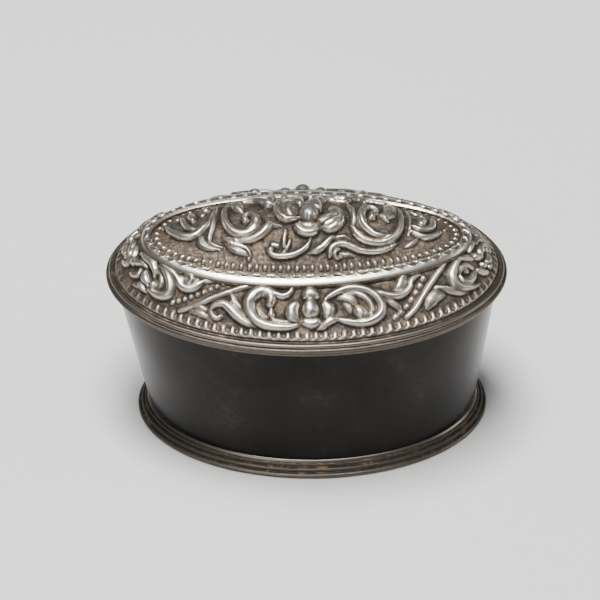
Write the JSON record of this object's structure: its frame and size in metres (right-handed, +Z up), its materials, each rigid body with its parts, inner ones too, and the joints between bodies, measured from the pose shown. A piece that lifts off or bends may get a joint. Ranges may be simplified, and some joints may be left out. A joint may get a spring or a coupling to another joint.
{
  "type": "lime container",
  "caption": "Oval silver lime box on a flared foot, with a lift-off domed lid worked in raised scrolls and flowers.",
  "frame": {"origin": "centre of the foot's underside", "axes": "+X along the box's length, +Y across it, +Z up through the lid"},
  "size_m": [0.072, 0.0472, 0.0448],
  "materials": {
    "relief_silver": "oxidised silver, worn bright on the high points",
    "rim_silver": "dark oxidised silver mouldings",
    "body_silver": "smooth blackened silver"
  },
  "bodies": {
    "base": {"foot_ring": "rim_silver", "base_wall": "body_silver", "base_floor": "body_silver", "seat_wire": "rim_silver"},
    "lid": {"lid_rim": "rim_silver", "lid_flange": "body_silver", "lid_frieze": "relief_silver", "crescent_ring": "relief_silver", "lid_dome": "relief_silver"}
  },
  "joints": [
    {"name": "lid_lift", "type": "slide", "parent": "base", "child": "lid", "axis": [0, 0, 1], "range_m": [0, 0.03]}
  ]
}
